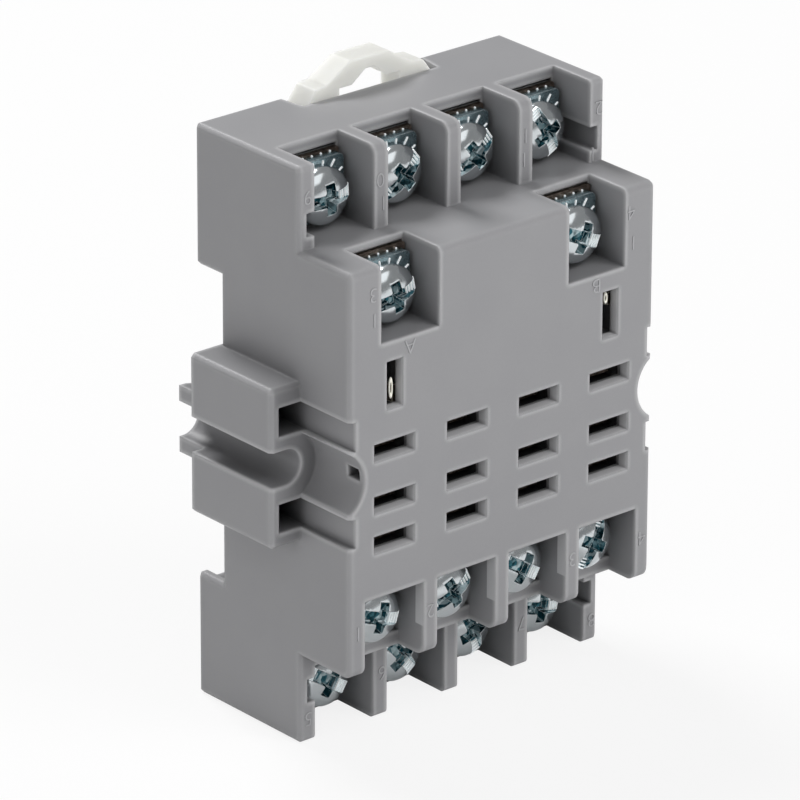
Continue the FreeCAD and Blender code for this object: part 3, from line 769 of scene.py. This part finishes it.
# %% Camera
CAMERA_PLACE = Vector((-489.374, -574.786, 354.082)) * MM
CAMERA_AZIMUTH, CAMERA_ELEVATION, CAMERA_ROLL = (math.radians(v) for v in (-40.2015, 23.0255, 0.2075))
camera_data = bpy.data.cameras.new("camera")
camera_data.lens = 339.09
camera_data.sensor_width = 36.0
camera_data.clip_start = 0.05
camera_data.clip_end = 20.0
camera = bpy.data.objects.new("camera", camera_data)
look = Euler((math.pi / 2 - CAMERA_ELEVATION, 0, CAMERA_AZIMUTH)).to_matrix()
turn = look @ Matrix.Rotation(CAMERA_ROLL, 3, "Z")
camera.matrix_world = Matrix.Translation(CAMERA_PLACE) @ turn.to_4x4()
bpy.context.collection.objects.link(camera)
bpy.context.scene.camera = camera

# %% [markdown]
# ## Light and floor
# Soft, nearly even light shows a grey part best. A broad soft box stands over the front, and the round
# heads of the screws mirror it as one pale patch. Two lamps beside it fill the face and its right side,
# and are hidden from gloss so that they add no patches of their own. A weaker lamp on the left keeps that
# side a step darker, and one behind lights the top. The room is white to the lens, pale in reflections
# and nearly dark as a light.


# %% Lamps, room and floor
SOCKET_MIDDLE = Vector((0, 0, 0.035))


def soft_lamp(name, place, size, power, in_gloss=True):
    """A square area lamp that looks at the middle of the socket, and that gloss may or may not show."""
    lamp = bpy.data.lights.new(name, "AREA")
    lamp.size = size
    lamp.energy = power
    holder = bpy.data.objects.new(name, lamp)
    holder.location = place
    holder.visible_glossy = in_gloss
    aim = SOCKET_MIDDLE - holder.location
    holder.rotation_euler = aim.to_track_quat("-Z", "Y").to_euler()
    bpy.context.collection.objects.link(holder)


soft_lamp("soft_box", Vector((-0.23, -0.58, 0.93)), 1.05, 3.0)
soft_lamp("front_lamp", Vector((0.27, -0.66, 0.86)), 0.5, 2.9, in_gloss=False)
soft_lamp("right_lamp", Vector((0.54, -0.92, 0.25)), 0.5, 4.0, in_gloss=False)
soft_lamp("left_lamp", Vector((-1.05, -0.14, 0.38)), 0.5, 2.2)
soft_lamp("rear_lamp", Vector((0.0, 0.66, 0.91)), 0.4, 9.0)

world = bpy.data.worlds.new("room")
bpy.context.scene.world = world
world.use_nodes = True
room = world.node_tree
path = room.nodes.new("ShaderNodeLightPath")
choice = room.nodes["Background"].outputs[0]
room.nodes["Background"].inputs["Color"].default_value = (0.98, 0.99, 1.0, 1)
room.nodes["Background"].inputs["Strength"].default_value = 0.02
for ray, strength in (("Is Glossy Ray", 0.35), ("Is Transmission Ray", 1.0), ("Is Camera Ray", 1.0)):
    tone = room.nodes.new("ShaderNodeBackground")
    tone.inputs["Strength"].default_value = strength
    choose = room.nodes.new("ShaderNodeMixShader")
    room.links.new(path.outputs[ray], choose.inputs[0])
    room.links.new(choice, choose.inputs[1])
    room.links.new(tone.outputs[0], choose.inputs[2])
    choice = choose.outputs[0]
room.links.new(choice, room.nodes["World Output"].inputs["Surface"])

bpy.ops.mesh.primitive_circle_add(vertices=96, radius=6.0, fill_type="NGON", location=(0, 0, CAD_BOX[0][2]))
floor = latest("floor")
paper = Finish("paper", Roughness=0.9, Specular_IOR_Level=0.1)
paper.feed(Base_Color=paper.blend_colours(paper.noise(30), (0.86, 0.86, 0.86), (0.88, 0.88, 0.88)))
paper_light = paper.node("Emission", {}, {"Strength": 1.0})
paper_seen = paper.node("LightPath", out="Is Camera Ray") * 0.85
paper_skin = Signal(paper, paper.shader.outputs[0])
paper_mix = paper.node("MixShader", {}, {0: paper_seen, 1: paper_skin, 2: paper_light})
paper.tree.links.new(paper_mix.socket, paper.tree.nodes["Material Output"].inputs["Surface"])
floor.data.materials.append(paper.material)
bpy.context.scene.view_settings.view_transform = "Standard"
